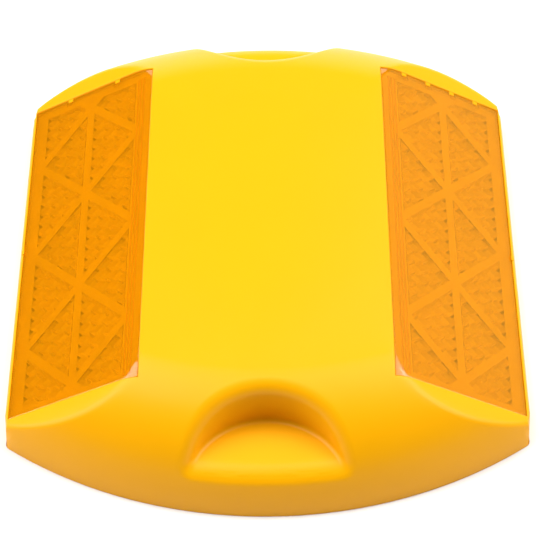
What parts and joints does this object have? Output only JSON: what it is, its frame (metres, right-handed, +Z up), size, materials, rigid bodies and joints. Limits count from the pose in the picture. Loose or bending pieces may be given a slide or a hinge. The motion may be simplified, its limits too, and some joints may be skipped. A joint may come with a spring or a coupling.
{
  "type": "raised pavement marker",
  "caption": "Low moulded road marker with curved ends, half-round finger grips and a prismatic amber lens set in each sloping face.",
  "frame": {"origin": "centre of the bonding face, on the road surface", "axes": "+X along the road towards the traffic that the right-hand lens faces; +Y across the lane, through the finger grips; +Z up"},
  "size_m": [0.088, 0.102, 0.018],
  "materials": {
    "yellow_abs": "satin moulded",
    "amber_acrylic": "polished clear amber",
    "tray_abs": "moulded",
    "filled_resin": "rough, sand filled"
  },
  "bodies": {
    "root": {"shell": "yellow_abs", "lens_right": "amber_acrylic", "lens_left": "amber_acrylic", "cell_tray_right": "tray_abs", "cell_tray_left": "tray_abs", "potting_core": "filled_resin"}
  },
  "joints": []
}
